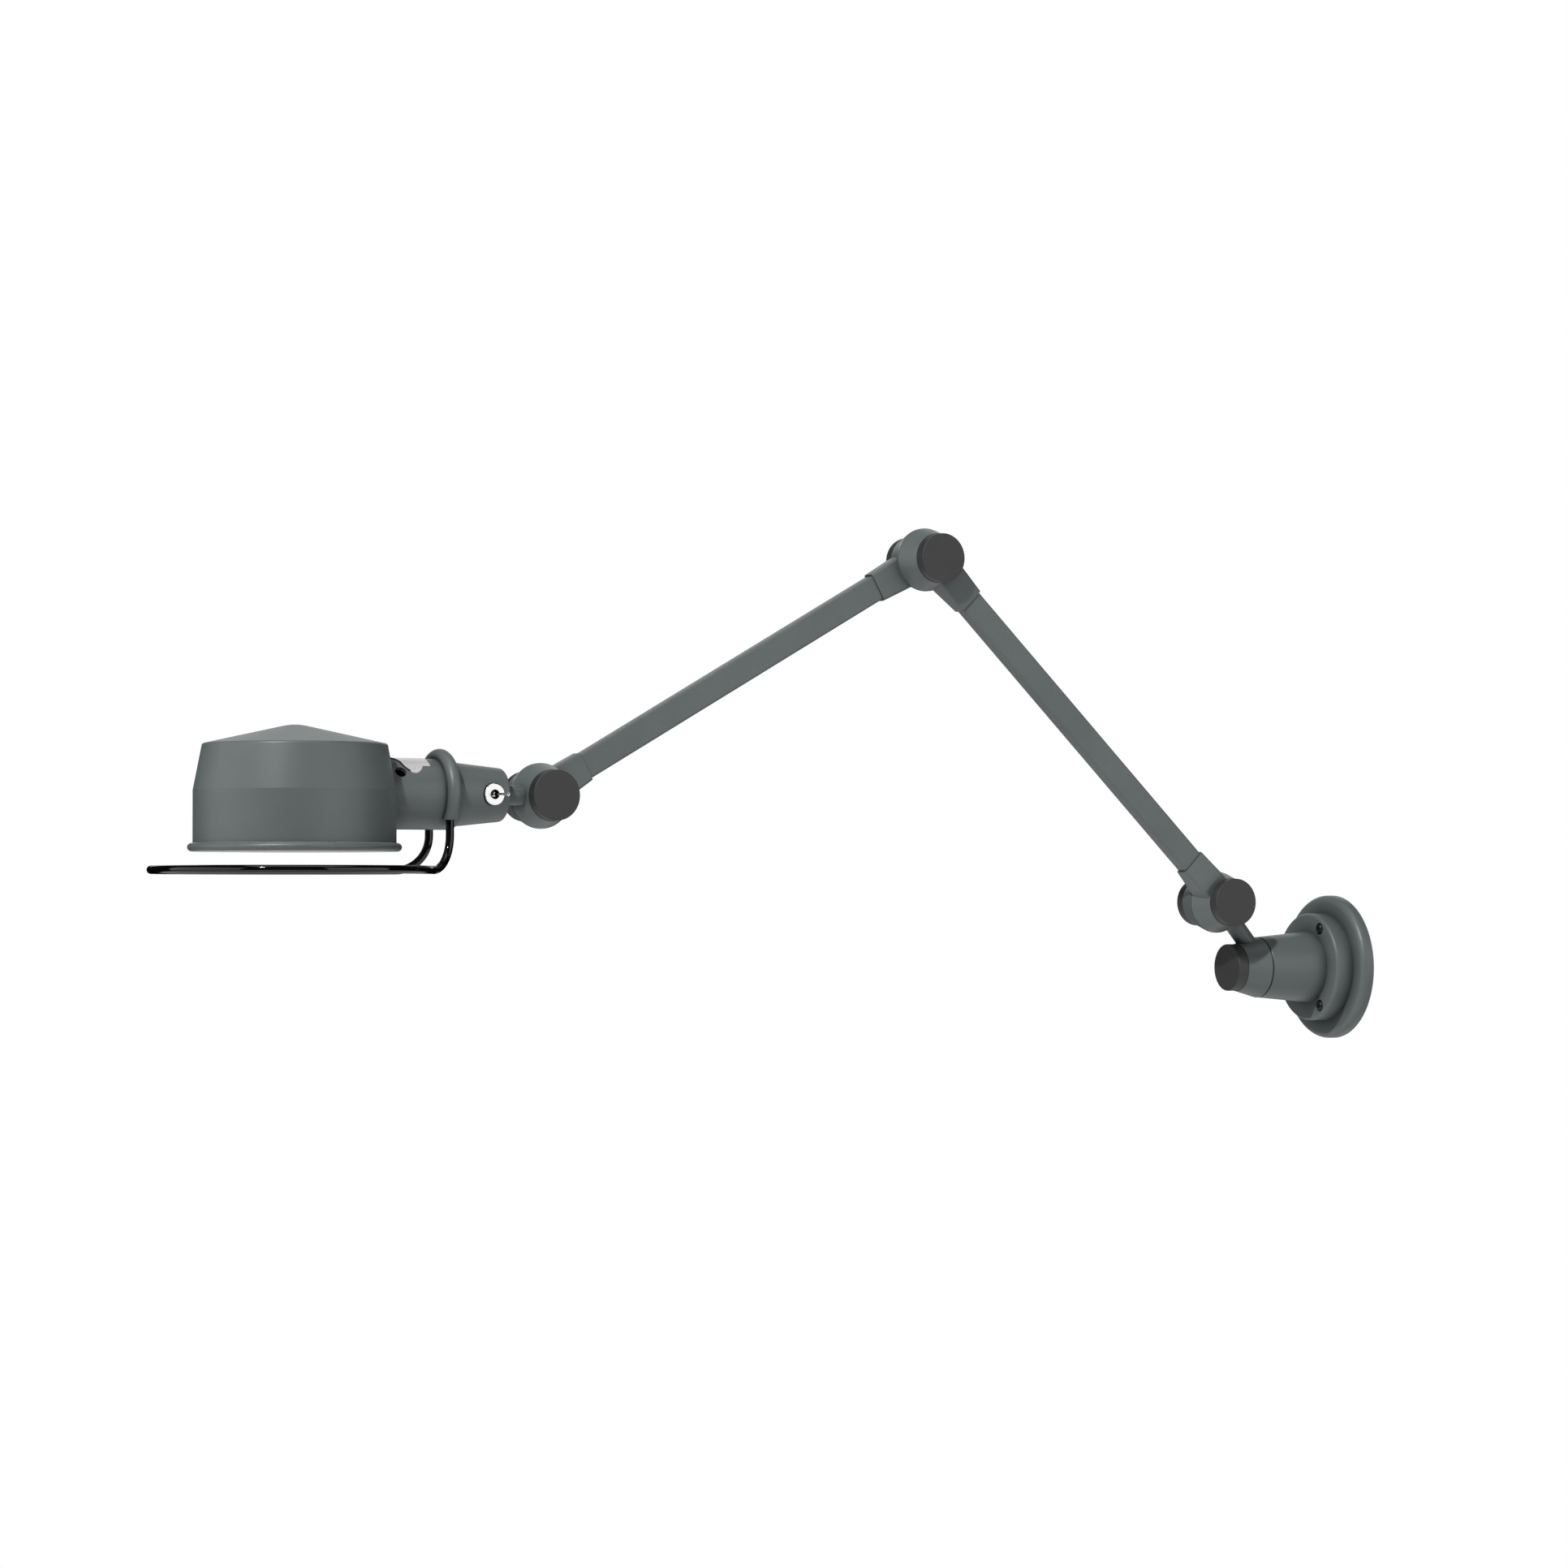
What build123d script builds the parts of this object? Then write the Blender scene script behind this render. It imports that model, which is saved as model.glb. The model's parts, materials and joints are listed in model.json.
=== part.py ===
# Wall lamp with two swinging arms, friction knuckles and a spun shade with a guard ring.
# The origin is the centre of the wall plate's back face. +X points into the wall and +Z is up.

import os
from math import acos, asin, atan2, cos, degrees, hypot, radians, sin, sqrt, tan

from build123d import *

os.makedirs("parts", exist_ok=True)

# Clearances
running_fit = 0.05
seat_fit = 0.03
form_gap = 0.06

# Tolerance for picking an edge by its radius and place
edge_match = 0.05

# Wall plate and base casting
plate_r = 61.4
plate_t = 10.6
plate_edge = 5.5
cable_r = 9.0
flange_r = 46.0
flange_t = 16.35
flange_edge = 2.6
cone_root_r = 30.5
cone_len = 51.3
base_wall = 3.5
screw_pcd = 76.0
screw_count = 3
screw_hole_r = 2.6
screw_head_r = 5.0
screw_head_depth = 4.5
block_w = 26.0
block_d = 11.0
block_h = 13.0
block_gap = 1.75
block_corner = 1.1
block_terminals = 2
terminal_r = 2.2
terminal_depth = 6.5

# Knuckle: two cups on a through bolt with a friction disc in the split
cup_r = 25.9
cup_end_r = 20.3
cup_len = 21.4
cup_edge = 0.5
cavity_r = 12.0
cavity_wall = 2.0
web_t = 5.0
split_gap = 1.0
disc_inset = 0.9
cap_r = 19.9
cap_t = 9.4
cap_edge = 0.6
cap_wall = 2.0
cap_spigot = 3.0
bolt_r = 5.0
bolt_bore_r = 3.0
bolt_end = 1.0
hex_af = 16.0
head_t = 6.0
nut_t = 6.5
spring_r = 10.5
spring_t = 1.6
spring_dish = 0.7
spring_count = 2

# Arms
arm_len = 400.0
arm_w = 21.4
arm_t = 12.0
arm_corner = 2.0
arm_wall = 1.5
arm_offset = 11.0
lower_angle = 135.25
upper_angle = 209.62
socket_reach = 48.0
socket_wall = 1.55
socket_cheek = 1.0
socket_flare = 1.75
socket_side = 0.6
socket_corner = 2.5
socket_depth = 26.0
wire_r = 4.0

# Round rods: the link from the swivel to the shoulder, and the stem of the head
rod_r = 7.9
rod_bore_r = 5.0
shoulder_out = 126.84
shoulder_up = 55.71
link_lean = 39.7
link_offset = 7.15
link_seat = 18.0
rod_wall = 1.5

# Switch housing and neck, with the housing's start measured from the wrist axis
housing_start = 39.9
housing_len = 43.0
housing_small_r = 20.8
housing_step = 1.2
housing_edge = 2.4
housing_wall = 2.5
stem_grip = 5.0
neck_len = 51.1
neck_bore_r = 24.0
neck_wall = 3.5
spigot_len = 25.0
nipple_r = 5.0
collar_in = 8.9
collar_tube_r = 5.5
collar_lift = 2.4
collar_cut = 20.0
vent_back = 0.7
vent_angle = 37.0
vent_r = 4.7
label_back = 12.8
label_w = 18.0
label_half = 22.6
label_corner = 8.8
label_tab = 14.4
label_tab_half = 17.5
label_tail = 14.8
label_tip_half = 2.0
label_t = 0.4

# Toggle switch on the housing's side
switch_in = 15.4
spot_depth = 1.6
spot_r = 9.2
bush_r = 6.0
bush_bore_r = 3.8
nut_r = 8.4
switch_nut_t = 4.0
nut_chamfer = 0.5
nut_lip = 1.0
bush_deep = 5.5
switch_w = 12.0
switch_h = 16.0
switch_deep = 15.0
lever_r = 1.1
lever_tip_r = 1.6
lever_reach = 15.5
lever_tilt = 11.5
lever_seat = 5.2

# Lampholder and bulb
holder_r = 19.5
holder_len = 29.0
holder_floor = 4.0
holder_rim = 1.5
bulb_base_r = 13.0
bulb_base_len = 26.0
bulb_r = 22.5
bulb_neck = 34.0
thread_gap = 0.4

# Shade, with heights from the head axis
shade_r = 77.4
shade_wall = 1.5
shade_taper = 6.9
shade_top_up = 37.5
shade_edge_up = 2.0
apex_up = 52.1
apex_round_r = 9.0
shade_edge_fillet = 2.0
rim_down = 41.6
bead_r = 3.2
bead_out = 0.9

# Guard ring
guard_r = 3.2
guard_gap = 29.5
guard_ring_shift = 2.0
guard_drop = 17.2
guard_in = 8.5
leg_inset = 1.98
leg_spread = 19.84
guard_lead = 2.3
leg_bend = 26.8
ring_bend = 8.0
leg_seat = 2.3

# Derived places
half_gap = split_gap / 2
spring_stack = spring_count * (spring_t + spring_dish)
flange_x = -plate_t
cone_x = -(plate_t + flange_t)
split_x = cone_x - cone_len
knuckle_y = -arm_offset
rear_y = 0.0
front_y = knuckle_y - arm_offset


def heading(angle):
    return Vector(cos(radians(angle)), 0, sin(radians(angle)))


shoulder = Vector(-shoulder_out, knuckle_y, shoulder_up)
elbow = shoulder + heading(lower_angle) * arm_len
wrist = elbow + heading(upper_angle) * arm_len
head_y = front_y
head_z = wrist.Z
socket_w = arm_w + 2 * socket_wall
socket_t = arm_t + 2 * socket_cheek
tube_start = socket_reach - socket_depth
neck_start = housing_start + housing_len
neck_end = neck_start + neck_len
neck_r = neck_bore_r + neck_wall
housing_big_r = neck_bore_r + housing_step
spigot_end = neck_start + spigot_len
spigot_r = neck_bore_r - running_fit
switch_at = housing_start + switch_in
collar_at = neck_start + collar_in
collar_r = neck_r + collar_lift
collar_x = wrist.X - collar_at
vent_at = neck_end - vent_back
label_at = neck_end - label_back
label_side = label_half - label_corner
shade_at = neck_end + shade_r
shade_top_r = shade_r - shade_taper
shade_x = wrist.X - shade_at
guard_at = neck_start + guard_in
guard_x = wrist.X - guard_at
guard_leg = sqrt(collar_r**2 - collar_cut**2) - leg_inset
guard_ring_r = shade_r + guard_gap
guard_join = degrees(asin((guard_leg + leg_spread) / guard_ring_r))
guard_down = rim_down + guard_drop
housing_r = housing_small_r + (housing_big_r - housing_small_r) * (switch_at - housing_start) / (
    neck_start - housing_start
)
spot_face = housing_r - spot_depth


# Planes whose y axis is a turning axis: knuckle sides, the base axis, the head axis and the shade axis
def knuckle_side(joint, side):
    return Plane(origin=joint, x_dir=(1, 0, 0), z_dir=(0, 0, side))


base_out = Plane(origin=(0, 0, 0), x_dir=(0, 0, 1), z_dir=(0, -1, 0))
swivel_out = Plane(origin=(split_x, 0, 0), x_dir=(0, 0, 1), z_dir=(0, -1, 0))
swivel_in = Plane(origin=(split_x, 0, 0), x_dir=(0, 0, 1), z_dir=(0, 1, 0))
head_axis = Plane(origin=(wrist.X, head_y, head_z), x_dir=(0, 0, 1), z_dir=(0, -1, 0))
shade_axis = Plane(origin=(shade_x, head_y, head_z), x_dir=(1, 0, 0), z_dir=(0, -1, 0))


# Plane square to a turning axis, this far along it
def across(axis_plane, height):
    origin = axis_plane.origin + axis_plane.y_dir * height
    return Plane(origin=origin, x_dir=axis_plane.x_dir, z_dir=axis_plane.y_dir)


# Solid of revolution from an outline of (radius, height) points, with one corner rounded if named
def turned(axis_plane, points, mode=Mode.ADD, corner=None, corner_r=0):
    with BuildSketch(axis_plane) as section:
        with BuildLine():
            Polyline(*points, close=True)
        make_face()
        if corner:
            fillet(section.vertices().sort_by_distance(corner)[0], corner_r)
    revolve(section.sketch, axis=Axis(axis_plane.origin, axis_plane.y_dir), mode=mode)


# Round bar between two heights on an axis
def bar(axis_plane, radius, low, high, mode=Mode.ADD):
    with BuildSketch(across(axis_plane, low)) as disc:
        Circle(radius)
    extrude(disc.sketch, amount=high - low, mode=mode)


def hexagon(axis_plane, low, high):
    with BuildSketch(across(axis_plane, low)) as flats:
        RegularPolygon(hex_af / 2, 6, major_radius=False)
    extrude(flats.sketch, amount=high - low)


# Conical cup with a web at the split and a cavity behind it
def cup_body(axis_plane):
    bore = bolt_r + running_fit
    turned(
        axis_plane,
        [
            (bore, half_gap),
            (cup_r - cup_edge, half_gap),
            (cup_r, half_gap + cup_edge),
            (cup_end_r, cup_len),
            (cavity_r, cup_len),
            (cavity_r, half_gap + web_t),
            (bore, half_gap + web_t),
        ],
    )


# Cap with a spigot in the cup's cavity and a hollow behind its face
def cap_body(axis_plane):
    spigot = cavity_r - seat_fit
    face = cup_len + cap_t
    turned(
        axis_plane,
        [
            (0, face - cap_wall),
            (0, face),
            (cap_r, face),
            (cap_r, cup_len),
            (spigot, cup_len),
            (spigot, cup_len - cap_spigot),
            (spigot - cap_wall, cup_len - cap_spigot),
            (spigot - cap_wall, face - cap_wall),
        ],
        corner=(cap_r, face),
        corner_r=cap_edge,
    )


# Hollow bolt: head on the web of the carrying cup, thread end past the nut
def bolt_body(axis_plane):
    seat = half_gap + web_t
    tip = -(seat + spring_stack + nut_t + bolt_end)
    hexagon(axis_plane, seat, seat + head_t)
    bar(axis_plane, bolt_r, tip, seat)
    bar(axis_plane, bolt_bore_r, tip, seat + head_t, mode=Mode.SUBTRACT)


def nut_body(axis_plane):
    top = -(half_gap + web_t + spring_stack)
    hexagon(axis_plane, top - nut_t, top)
    bar(axis_plane, bolt_r + seat_fit, top - nut_t, top, mode=Mode.SUBTRACT)


# Dished spring washers stacked rim to rim, with their bores on the web and the nut
def spring_body(axis_plane):
    inner = bolt_r + seat_fit
    for index in range(spring_count):
        base = -(half_gap + web_t) - index * (spring_t + spring_dish)
        bore_drop, rim_drop = (spring_dish, 0) if index % 2 else (0, spring_dish)
        turned(
            axis_plane,
            [
                (inner, base - bore_drop),
                (spring_r, base - rim_drop),
                (spring_r, base - rim_drop - spring_t),
                (inner, base - bore_drop - spring_t),
            ],
        )


def disc_body(axis_plane):
    bar(axis_plane, cup_r - disc_inset, -half_gap, half_gap)
    bar(axis_plane, bolt_r + seat_fit, -half_gap, half_gap, mode=Mode.SUBTRACT)


# Plane square to an arm, this far from a joint and in the layer of the cup that carries it
def arm_plane(joint, layer, angle, reach):
    origin = Vector(joint.X, layer, joint.Z) + heading(angle) * reach
    return Plane(origin=origin, x_dir=(0, 1, 0), z_dir=heading(angle))


# Four-sided section of a socket, wider on its side at the split
def socket_section(plane, split, thick, split_width, cap_width):
    with BuildSketch(plane) as section:
        with BuildLine():
            Polyline(
                (split * thick / 2, -split_width / 2),
                (split * thick / 2, split_width / 2),
                (-split * thick / 2, cap_width / 2),
                (-split * thick / 2, -cap_width / 2),
                close=True,
            )
        make_face()
        fillet(section.vertices(), socket_corner)
    return section.sketch


# Flared socket on a cup, with a pocket for the tube and a wire way to the cavity
def arm_socket(joint, layer, angle):
    split = 1 if layer < knuckle_y else -1
    flush = 2 * (arm_offset - half_gap - socket_side)
    wide = socket_w + 2 * socket_flare
    sections = []
    for reach, thick, split_width in (
        (cavity_r + cavity_wall, flush, wide),
        (cup_r - socket_corner, flush, wide),
        (socket_reach, socket_t, socket_w),
    ):
        plane = arm_plane(joint, layer, angle, reach)
        sections.append(socket_section(plane, split, thick, split_width, socket_w))
    loft(sections, ruled=True)
    with BuildSketch(arm_plane(joint, layer, angle, tube_start)) as pocket:
        RectangleRounded(arm_t + 2 * seat_fit, arm_w + 2 * seat_fit, arm_corner)
    extrude(pocket.sketch, amount=socket_depth, mode=Mode.SUBTRACT)
    with BuildSketch(arm_plane(joint, layer, angle, cavity_r - wire_r)) as way:
        Circle(wire_r)
    extrude(way.sketch, amount=tube_start - cavity_r + wire_r, mode=Mode.SUBTRACT)


def arm_tube(joint, layer, angle):
    with BuildSketch(arm_plane(joint, layer, angle, tube_start)) as section:
        RectangleRounded(arm_t, arm_w, arm_corner)
        RectangleRounded(
            arm_t - 2 * arm_wall, arm_w - 2 * arm_wall, arm_corner - arm_wall, mode=Mode.SUBTRACT
        )
    extrude(section.sketch, amount=arm_len - 2 * tube_start)


# Blind seat for a round rod, with a wire way from its floor to the cavity
def rod_seat(end_plane, length, way_plane):
    with BuildSketch(end_plane) as seat:
        Circle(rod_r + seat_fit)
    extrude(seat.sketch, amount=length, mode=Mode.SUBTRACT)
    with BuildSketch(way_plane) as way:
        Circle(wire_r)
    extrude(way.sketch, amount=cavity_r, mode=Mode.SUBTRACT)


# The link rod leans away from the wall and passes beside the shoulder axis
link_up = Vector(-sin(radians(link_lean)), 0, cos(radians(link_lean)))
link_side = Vector(cos(radians(link_lean)), 0, sin(radians(link_lean)))
link_foot = Vector(shoulder.X, rear_y, shoulder.Z) + link_side * link_offset
link_top = link_foot - link_up * (cavity_r + rod_wall)
link_low = link_foot - link_up * ((link_foot.Z - link_seat) / link_up.Z)
link_len = (link_top - link_low).length
link_base = Plane(origin=link_low, x_dir=(0, 1, 0), z_dir=link_up)
link_head = Plane(origin=link_top, x_dir=(0, 1, 0), z_dir=-link_up)
link_mid = Vector(split_x - arm_offset, rear_y, 0)
swivel_way = Plane(origin=link_mid + Vector(0, 0, link_seat), x_dir=(0, 1, 0), z_dir=(0, 0, -1))
link_in = (Vector(shoulder.X, rear_y, shoulder.Z) - link_top).normalized()
shoulder_way = Plane(origin=link_top, x_dir=(0, 1, 0), z_dir=link_in)
stem_end = cavity_r + rod_wall
stem_plane = across(head_axis, stem_end)
stem_way = Plane(origin=stem_plane.origin, x_dir=(0, 1, 0), z_dir=(1, 0, 0))

# Joint sides: a rear side carries the bolt, a front side turns on it
shoulder_rear, shoulder_front = knuckle_side(shoulder, 1), knuckle_side(shoulder, -1)
elbow_rear, elbow_front = knuckle_side(elbow, 1), knuckle_side(elbow, -1)
wrist_rear, wrist_front = knuckle_side(wrist, 1), knuckle_side(wrist, -1)


# Round holes of the wall screws, the first towards +Y
def screw_cut(height, radius, depth):
    with BuildSketch(across(base_out, height)) as holes:
        with PolarLocations(screw_pcd / 2, screw_count, start_angle=90):
            Circle(radius)
    extrude(holes.sketch, amount=depth, mode=Mode.SUBTRACT)


# Circular edges of one radius, centred at one place along an axis
def ring_edges(piece, radius, axis, place):
    return piece.edges().filter_by(
        lambda edge: edge.geom_type == GeomType.CIRCLE
        and abs(edge.radius - radius) < edge_match
        and abs(edge.arc_center.dot(axis) - place) < edge_match
    )


along_x = Vector(1, 0, 0)
along_z = Vector(0, 0, 1)

# Wall base
with BuildPart() as wall_plate:
    bar(base_out, plate_r, 0, plate_t)
    fillet(ring_edges(wall_plate, plate_r, along_x, flange_x), plate_edge)
    bar(base_out, cable_r, 0, plate_t, mode=Mode.SUBTRACT)
    screw_cut(0, screw_hole_r, plate_t)

cone_end = -split_x - half_gap
cone_root = plate_t + flange_t
with BuildPart() as base_casting:
    turned(
        base_out,
        [
            (cone_root_r - base_wall, plate_t),
            (flange_r, plate_t),
            (flange_r, cone_root),
            (cone_root_r, cone_root),
            (cup_r, cone_end - cup_edge),
            (cup_r - cup_edge, cone_end),
            (bolt_r + seat_fit, cone_end),
            (bolt_r + seat_fit, cone_end - web_t),
            (cup_r - base_wall, cone_end - web_t),
            (cone_root_r - base_wall, cone_root),
        ],
    )
    fillet(ring_edges(base_casting, flange_r, along_x, cone_x), flange_edge)
    screw_cut(plate_t, screw_hole_r, flange_t)
    screw_cut(cone_root, screw_head_r, -screw_head_depth)

block_z = cable_r + block_gap + block_d / 2
with BuildPart() as terminal_block:
    with BuildSketch(across(base_out, plate_t)) as block_face:
        with Locations((block_z, 0)):
            RectangleRounded(block_d, block_w, block_corner)
    extrude(amount=block_h)
    with BuildSketch(across(base_out, plate_t + block_h)) as terminals:
        with Locations((block_z, 0)):
            with GridLocations(block_d, block_w / block_terminals, 1, block_terminals):
                Circle(terminal_r)
    extrude(amount=-terminal_depth, mode=Mode.SUBTRACT)

with BuildPart() as swivel_bolt:
    bolt_body(swivel_in)

with BuildPart() as swivel_nut:
    nut_body(swivel_in)

with BuildPart() as swivel_springs:
    spring_body(swivel_in)

with BuildPart() as swivel_disc:
    disc_body(swivel_in)

# Swivel and shoulder link
with BuildPart() as swivel_cup:
    cup_body(swivel_out)
    rod_seat(link_base, link_len, swivel_way)

with BuildPart() as swivel_cap:
    cap_body(swivel_out)

with BuildPart() as link_rod:
    with BuildSketch(link_base) as link_section:
        Circle(rod_r)
        Circle(rod_bore_r, mode=Mode.SUBTRACT)
    extrude(amount=link_len)

with BuildPart() as shoulder_rear_cup:
    cup_body(shoulder_rear)
    rod_seat(link_head, link_len, shoulder_way)

with BuildPart() as shoulder_rear_cap:
    cap_body(shoulder_rear)

with BuildPart() as shoulder_bolt:
    bolt_body(shoulder_rear)

with BuildPart() as shoulder_nut:
    nut_body(shoulder_rear)

with BuildPart() as shoulder_springs:
    spring_body(shoulder_rear)

with BuildPart() as shoulder_disc:
    disc_body(shoulder_rear)

# Lower arm
with BuildPart() as shoulder_front_cup:
    cup_body(shoulder_front)
    arm_socket(shoulder, front_y, lower_angle)

with BuildPart() as shoulder_front_cap:
    cap_body(shoulder_front)

with BuildPart() as lower_arm_tube:
    arm_tube(shoulder, front_y, lower_angle)

with BuildPart() as elbow_front_cup:
    cup_body(elbow_front)
    arm_socket(elbow, front_y, lower_angle + 180)

with BuildPart() as elbow_front_cap:
    cap_body(elbow_front)

# Upper arm
with BuildPart() as elbow_rear_cup:
    cup_body(elbow_rear)
    arm_socket(elbow, rear_y, upper_angle)

with BuildPart() as elbow_rear_cap:
    cap_body(elbow_rear)

with BuildPart() as elbow_bolt:
    bolt_body(elbow_rear)

with BuildPart() as elbow_nut:
    nut_body(elbow_rear)

with BuildPart() as elbow_springs:
    spring_body(elbow_rear)

with BuildPart() as elbow_disc:
    disc_body(elbow_rear)

with BuildPart() as upper_arm_tube:
    arm_tube(elbow, rear_y, upper_angle)

with BuildPart() as wrist_rear_cup:
    cup_body(wrist_rear)
    arm_socket(wrist, rear_y, upper_angle + 180)

with BuildPart() as wrist_rear_cap:
    cap_body(wrist_rear)

with BuildPart() as wrist_bolt:
    bolt_body(wrist_rear)

with BuildPart() as wrist_nut:
    nut_body(wrist_rear)

with BuildPart() as wrist_springs:
    spring_body(wrist_rear)

with BuildPart() as wrist_disc:
    disc_body(wrist_rear)

# Head holder: wrist cup, stem and switch housing
with BuildPart() as wrist_front_cup:
    cup_body(wrist_front)
    rod_seat(stem_plane, cup_r, stem_way)

with BuildPart() as wrist_front_cap:
    cap_body(wrist_front)

stem_tip = housing_start + stem_grip
with BuildPart() as head_stem:
    bar(head_axis, rod_r, stem_end, stem_tip)
    bar(head_axis, rod_bore_r, stem_end, stem_tip, mode=Mode.SUBTRACT)

switch_x = wrist.X - switch_at
switch_out = Plane(origin=(switch_x, head_y, head_z), x_dir=(1, 0, 0), z_dir=(0, 0, -1))
switch_face = spot_face - bush_deep
switch_top = spot_face + switch_nut_t
inner_r = spigot_r - housing_wall
stem_hole_r = rod_r + seat_fit
with BuildPart() as switch_housing:
    turned(
        head_axis,
        [
            (stem_hole_r, housing_start),
            (housing_small_r, housing_start),
            (housing_big_r, neck_start),
            (spigot_r, neck_start),
            (spigot_r, spigot_end),
            (nipple_r, spigot_end),
            (nipple_r, spigot_end - housing_wall),
            (inner_r, spigot_end - housing_wall),
            (inner_r, neck_start),
            (housing_small_r - housing_wall, stem_tip),
            (stem_hole_r, stem_tip),
        ],
    )
    fillet(ring_edges(switch_housing, housing_small_r, along_x, wrist.X - housing_start), housing_edge)
    bar(switch_out, spot_r, spot_face, housing_big_r, mode=Mode.SUBTRACT)
    bar(switch_out, bush_r + seat_fit, switch_face, housing_big_r, mode=Mode.SUBTRACT)

with BuildPart() as switch_body:
    bar(switch_out, bush_r, switch_face, switch_top - nut_lip)
    bar(switch_out, bush_bore_r, switch_face, switch_top, mode=Mode.SUBTRACT)
    with BuildSketch(across(switch_out, switch_face)) as switch_outline:
        Rectangle(switch_w, switch_h)
    extrude(amount=-switch_deep)

with BuildPart() as switch_nut:
    turned(
        switch_out,
        [
            (bush_r + seat_fit, spot_face),
            (nut_r, spot_face),
            (nut_r, switch_top - nut_chamfer),
            (nut_r - nut_chamfer, switch_top),
            (bush_bore_r, switch_top),
            (bush_bore_r, switch_top - nut_lip),
            (bush_r + seat_fit, switch_top - nut_lip),
        ],
    )

pivot_up = switch_top - lever_seat
lever_dir = Vector(sin(radians(lever_tilt)), -cos(radians(lever_tilt)), 0)
lever_pivot = Vector(switch_x, head_y - pivot_up, head_z)
lever_len = (lever_seat + lever_reach) / cos(radians(lever_tilt))
lever_axis = Plane(
    origin=lever_pivot,
    x_dir=(0, 0, 1),
    z_dir=(cos(radians(lever_tilt)), sin(radians(lever_tilt)), 0),
)
with BuildPart() as switch_lever:
    with Locations(lever_pivot):
        Sphere(bush_bore_r - running_fit)
    bar(lever_axis, lever_r, 0, lever_len)
    with Locations(lever_pivot + lever_dir * lever_len):
        Sphere(lever_tip_r)

# Lampholder on the spigot, and the bulb in it
holder_end = spigot_end + holder_len
bulb_seat = spigot_end + holder_floor
with BuildPart() as lampholder:
    turned(
        head_axis,
        [
            (0, spigot_end),
            (holder_r, spigot_end),
            (holder_r, holder_end - holder_rim),
            (holder_r - holder_rim, holder_end),
            (bulb_base_r + thread_gap, holder_end),
            (bulb_base_r + thread_gap, bulb_seat),
            (0, bulb_seat),
        ],
    )

glass_start = bulb_seat + bulb_base_len
with BuildPart() as bulb_base:
    bar(head_axis, bulb_base_r, bulb_seat, glass_start)

# The glass leaves its neck on the line that touches its globe
glass_centre = glass_start + bulb_neck
neck_slant = hypot(bulb_base_r, bulb_neck)
touch = atan2(bulb_base_r, bulb_neck) + acos(bulb_r / neck_slant)
globe_side = (touch + radians(180)) / 2
with BuildPart() as bulb_glass:
    with BuildSketch(head_axis) as glass_section:
        with BuildLine():
            neck_line = Polyline(
                (0, glass_start),
                (bulb_base_r, glass_start),
                (bulb_r * sin(touch), glass_centre - bulb_r * cos(touch)),
            )
            ThreePointArc(
                neck_line @ 1,
                (bulb_r * sin(globe_side), glass_centre - bulb_r * cos(globe_side)),
                (0, glass_centre + bulb_r),
            )
            Line((0, glass_centre + bulb_r), (0, glass_start))
        make_face()
    revolve(axis=Axis(head_axis.origin, head_axis.y_dir))

# Shade: a shallow cone on a tapered wall, with a straight skirt and a rolled rim
roof_slope = atan2(apex_up - shade_top_up, shade_top_r - apex_round_r / 2)
tip_up = apex_up - apex_round_r * tan(roof_slope / 2)
taper = hypot(shade_r - shade_top_r, shade_top_up - shade_edge_up)
roof_normal = Vector(sin(roof_slope), cos(roof_slope))
taper_normal = Vector((shade_top_up - shade_edge_up) / taper, (shade_r - shade_top_r) / taper)
skirt_normal = Vector(1, 0)


# Corner of the shade's section moved inwards along its two walls' normals
def inner_corner(radius, height, first, second, inset):
    shift = (first + second) * (inset / (1 + first.dot(second)))
    return (radius - shift.X, height - shift.Y)


def shade_section(inset):
    return [
        (0, apex_up - inset),
        (apex_round_r - roof_normal.X * inset, tip_up - roof_normal.Y * inset),
        inner_corner(shade_top_r, shade_top_up, roof_normal, taper_normal, inset),
        inner_corner(shade_r, shade_edge_up, taper_normal, skirt_normal, inset),
        (shade_r - inset, -rim_down),
    ]


shade_outer = shade_section(0)
shade_inner = shade_section(shade_wall)
shade_form = shade_section(-form_gap) + [(0, -rim_down)]
with BuildPart() as shade:
    with BuildSketch(shade_axis) as shade_wall_section:
        with BuildLine():
            TangentArc(shade_outer[0], shade_outer[1], tangent=(1, 0))
            Polyline(*shade_outer[1:])
            Line(shade_outer[-1], shade_inner[-1])
            Polyline(*shade_inner[1:])
            TangentArc(shade_inner[0], shade_inner[1], tangent=(1, 0))
            Line(shade_inner[0], shade_outer[0])
        make_face()
    revolve(axis=Axis(shade_axis.origin, shade_axis.y_dir))
    fillet(ring_edges(shade, shade_top_r, along_z, head_z + shade_top_up), shade_edge_fillet)
    with BuildSketch(shade_axis) as rim_bead:
        with Locations((shade_r + bead_out, -rim_down)):
            Circle(bead_r)
    revolve(axis=Axis(shade_axis.origin, shade_axis.y_dir))
    bar(head_axis, neck_bore_r, shade_at - shade_r - neck_r, shade_at - neck_r, mode=Mode.SUBTRACT)

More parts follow.
